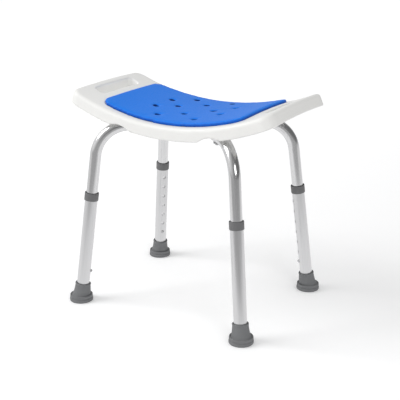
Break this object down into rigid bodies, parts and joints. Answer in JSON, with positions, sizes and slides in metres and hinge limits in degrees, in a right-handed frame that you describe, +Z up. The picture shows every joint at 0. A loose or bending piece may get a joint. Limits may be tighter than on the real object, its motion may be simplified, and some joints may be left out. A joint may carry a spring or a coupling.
{
  "type": "shower stool",
  "caption": "Backless shower stool: curved moulded seat with hand slots and a soft blue pad on splayed, height-adjustable tubular metal legs with rubber feet.",
  "frame": {"origin": "on the floor, under the centre of the seat, midway between the four feet", "axes": "+X along the seat's long side towards the right hand slot, +Y across the seat towards the rear, +Z up"},
  "size_m": [0.5108, 0.3844, 0.4874],
  "materials": {
    "seat_plastic": "satin",
    "pad_foam": "matte closed-cell foam",
    "polished_tube": "polished",
    "satin_tube": "satin",
    "grey_plastic": "satin",
    "foot_rubber": "matte",
    "screw_steel": "zinc plated",
    "insert_brass": "satin",
    "button_steel": "polished",
    "spring_steel": "blued"
  },
  "bodies": {
    "seat": {"seat_shell": "seat_plastic", "seat_pad": "pad_foam", "leg_screws": "screw_steel", "screw_washers": "screw_steel", "threaded_inserts": "insert_brass", "upper_tube_front_left": "polished_tube", "tube_end_plug_front_left": "grey_plastic", "snap_spring_front_left": "spring_steel", "upper_tube_rear_left": "polished_tube", "tube_end_plug_rear_left": "grey_plastic", "snap_spring_rear_left": "spring_steel", "upper_tube_front_right": "polished_tube", "tube_end_plug_front_right": "grey_plastic", "snap_spring_front_right": "spring_steel", "upper_tube_rear_right": "polished_tube", "tube_end_plug_rear_right": "grey_plastic", "snap_spring_rear_right": "spring_steel"},
    "leg_front_left": {"lower_tube_front_left": "satin_tube", "leg_collar_front_left": "grey_plastic", "foot_tip_front_left": "foot_rubber", "foot_washer_front_left": "screw_steel"},
    "button_front_left": {"snap_button_front_left": "button_steel"},
    "leg_rear_left": {"lower_tube_rear_left": "satin_tube", "leg_collar_rear_left": "grey_plastic", "foot_tip_rear_left": "foot_rubber", "foot_washer_rear_left": "screw_steel"},
    "button_rear_left": {"snap_button_rear_left": "button_steel"},
    "leg_front_right": {"lower_tube_front_right": "satin_tube", "leg_collar_front_right": "grey_plastic", "foot_tip_front_right": "foot_rubber", "foot_washer_front_right": "screw_steel"},
    "button_front_right": {"snap_button_front_right": "button_steel"},
    "leg_rear_right": {"lower_tube_rear_right": "satin_tube", "leg_collar_rear_right": "grey_plastic", "foot_tip_rear_right": "foot_rubber", "foot_washer_rear_right": "screw_steel"},
    "button_rear_right": {"snap_button_rear_right": "button_steel"}
  },
  "joints": [
    {"name": "leg_slide_front_left", "type": "slide", "parent": "seat", "child": "leg_front_left", "axis": [-0.1001, -0.0782, -0.9919], "range_m": [0, 0.1524]},
    {"name": "button_press_front_left", "type": "slide", "parent": "seat", "child": "button_front_left", "axis": [-0.7816, -0.6107, 0.1271], "range_m": [0, 0.0055], "stiffness_N_per_m": 800, "springref_m": -0.0008, "deforming": ["snap_spring_front_left"]},
    {"name": "leg_slide_rear_left", "type": "slide", "parent": "seat", "child": "leg_rear_left", "axis": [-0.1001, 0.0782, -0.9919], "range_m": [0, 0.1524]},
    {"name": "button_press_rear_left", "type": "slide", "parent": "seat", "child": "button_rear_left", "axis": [-0.7816, 0.6107, 0.1271], "range_m": [0, 0.0055], "stiffness_N_per_m": 800, "springref_m": -0.0008, "deforming": ["snap_spring_rear_left"]},
    {"name": "leg_slide_front_right", "type": "slide", "parent": "seat", "child": "leg_front_right", "axis": [0.1001, -0.0782, -0.9919], "range_m": [0, 0.1524]},
    {"name": "button_press_front_right", "type": "slide", "parent": "seat", "child": "button_front_right", "axis": [0.7816, -0.6107, 0.1271], "range_m": [0, 0.0055], "stiffness_N_per_m": 800, "springref_m": -0.0008, "deforming": ["snap_spring_front_right"]},
    {"name": "leg_slide_rear_right", "type": "slide", "parent": "seat", "child": "leg_rear_right", "axis": [0.1001, 0.0782, -0.9919], "range_m": [0, 0.1524]},
    {"name": "button_press_rear_right", "type": "slide", "parent": "seat", "child": "button_rear_right", "axis": [0.7816, 0.6107, 0.1271], "range_m": [0, 0.0055], "stiffness_N_per_m": 800, "springref_m": -0.0008, "deforming": ["snap_spring_rear_right"]}
  ]
}
